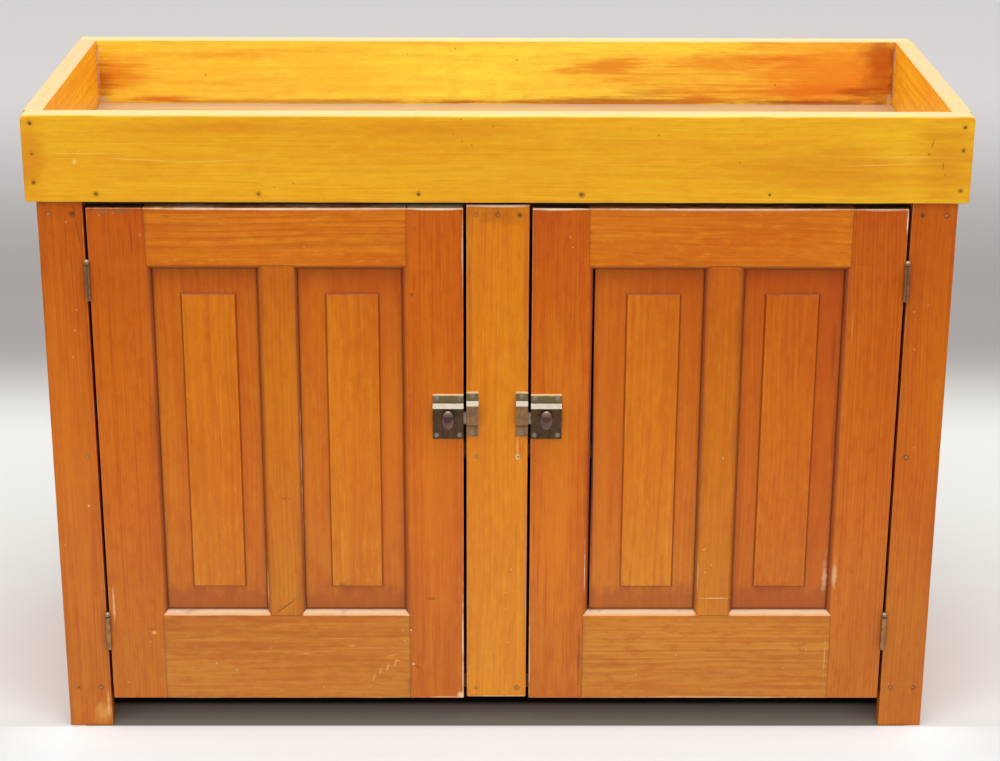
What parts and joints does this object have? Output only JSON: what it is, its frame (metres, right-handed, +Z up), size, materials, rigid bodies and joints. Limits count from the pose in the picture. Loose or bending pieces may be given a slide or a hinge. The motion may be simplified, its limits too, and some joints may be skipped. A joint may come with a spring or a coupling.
{
  "type": "dry sink cabinet",
  "caption": "Antique pine dry sink: a low cupboard with framed raised-panel doors, turn-knob latches and butt hinges, under a shallow open tray.",
  "frame": {"origin": "on the floor under the middle of the whole cabinet", "axes": "+X to the right seen from the front, +Y to the back, +Z up; the doors face -Y"},
  "size_m": [1.219, 0.501, 0.876],
  "materials": {
    "tray_pine": "aged amber varnish, satin",
    "case_pine": "aged red-orange varnish, satin",
    "center_stile_pine": "aged orange varnish, satin",
    "door_pine": "aged red-orange varnish, satin",
    "panel_pine": "aged red-brown varnish, satin",
    "inside_pine": "bare dry pine",
    "back_pine": "bare weathered pine",
    "hardware_brass": "darkened, worn brass",
    "knob_bronze": "brown patina",
    "nail_iron": "dull rusted iron"
  },
  "bodies": {
    "cabinet": {"left_side_board": "case_pine", "right_side_board": "case_pine", "left_front_stile": "case_pine", "right_front_stile": "case_pine", "center_stile": "center_stile_pine", "top_front_rail": "inside_pine", "top_back_rail": "inside_pine", "middle_shelf_front": "inside_pine", "middle_shelf_back": "inside_pine", "bottom_shelf_front": "inside_pine", "bottom_shelf_back": "inside_pine", "back_board_1": "back_pine", "back_board_2": "back_pine", "back_board_3": "back_pine", "back_board_4": "back_pine", "back_board_5": "back_pine", "tray_front_board": "tray_pine", "tray_back_board": "tray_pine", "tray_left_board": "tray_pine", "tray_right_board": "tray_pine", "tray_floor_front": "tray_pine", "tray_floor_back": "tray_pine", "tray_nails": "nail_iron", "case_nails": "nail_iron", "back_nails": "nail_iron", "left_frame_leaves": "hardware_brass", "right_frame_leaves": "hardware_brass", "hinge_pins": "hardware_brass", "frame_hinge_screws": "hardware_brass", "left_keeper": "hardware_brass", "right_keeper": "hardware_brass", "keeper_screws": "hardware_brass"},
    "left_door": {"left_door_hinge_stile": "door_pine", "left_door_latch_stile": "door_pine", "left_door_top_rail": "door_pine", "left_door_bottom_rail": "door_pine", "left_door_mullion": "door_pine", "left_door_outer_panel": "panel_pine", "left_door_inner_panel": "panel_pine", "left_door_leaves": "hardware_brass", "left_door_hinge_screws": "hardware_brass", "left_latch_case": "hardware_brass", "left_latch_screws": "hardware_brass"},
    "right_door": {"right_door_hinge_stile": "door_pine", "right_door_latch_stile": "door_pine", "right_door_top_rail": "door_pine", "right_door_bottom_rail": "door_pine", "right_door_mullion": "door_pine", "right_door_outer_panel": "panel_pine", "right_door_inner_panel": "panel_pine", "right_door_leaves": "hardware_brass", "right_door_hinge_screws": "hardware_brass", "right_latch_case": "hardware_brass", "right_latch_screws": "hardware_brass"},
    "left_latch_knob": {"left_knob": "knob_bronze"},
    "right_latch_knob": {"right_knob": "knob_bronze"},
    "left_latch_bolt": {"left_bolt": "hardware_brass"},
    "right_latch_bolt": {"right_bolt": "hardware_brass"}
  },
  "joints": [
    {"name": "left_door_hinge", "type": "hinge", "parent": "cabinet", "child": "left_door", "pos_m": [-0.535, -0.236, 0.3975], "axis": [0, 0, -1], "range_deg": [0, 180]},
    {"name": "left_knob_turn", "type": "hinge", "parent": "left_door", "child": "left_latch_knob", "pos_m": [-0.0655, -0.2405, 0.4635], "axis": [0, 1, 0], "range_deg": [0, 60]},
    {"name": "left_bolt_slide", "type": "slide", "parent": "left_door", "child": "left_latch_bolt", "axis": [1, 0, 0], "range_m": [0, 0.007]},
    {"name": "right_door_hinge", "type": "hinge", "parent": "cabinet", "child": "right_door", "pos_m": [0.535, -0.236, 0.3975], "axis": [0, 0, 1], "range_deg": [0, 180]},
    {"name": "right_knob_turn", "type": "hinge", "parent": "right_door", "child": "right_latch_knob", "pos_m": [0.0655, -0.2405, 0.4635], "axis": [0, -1, 0], "range_deg": [0, 60]},
    {"name": "right_bolt_slide", "type": "slide", "parent": "right_door", "child": "right_latch_bolt", "axis": [-1, 0, 0], "range_m": [0, 0.007]}
  ],
  "couplings": [
    {"joint": "left_bolt_slide", "follows": "left_knob_turn", "m_per_rad": 0.00668},
    {"joint": "right_bolt_slide", "follows": "right_knob_turn", "m_per_rad": 0.00668}
  ]
}
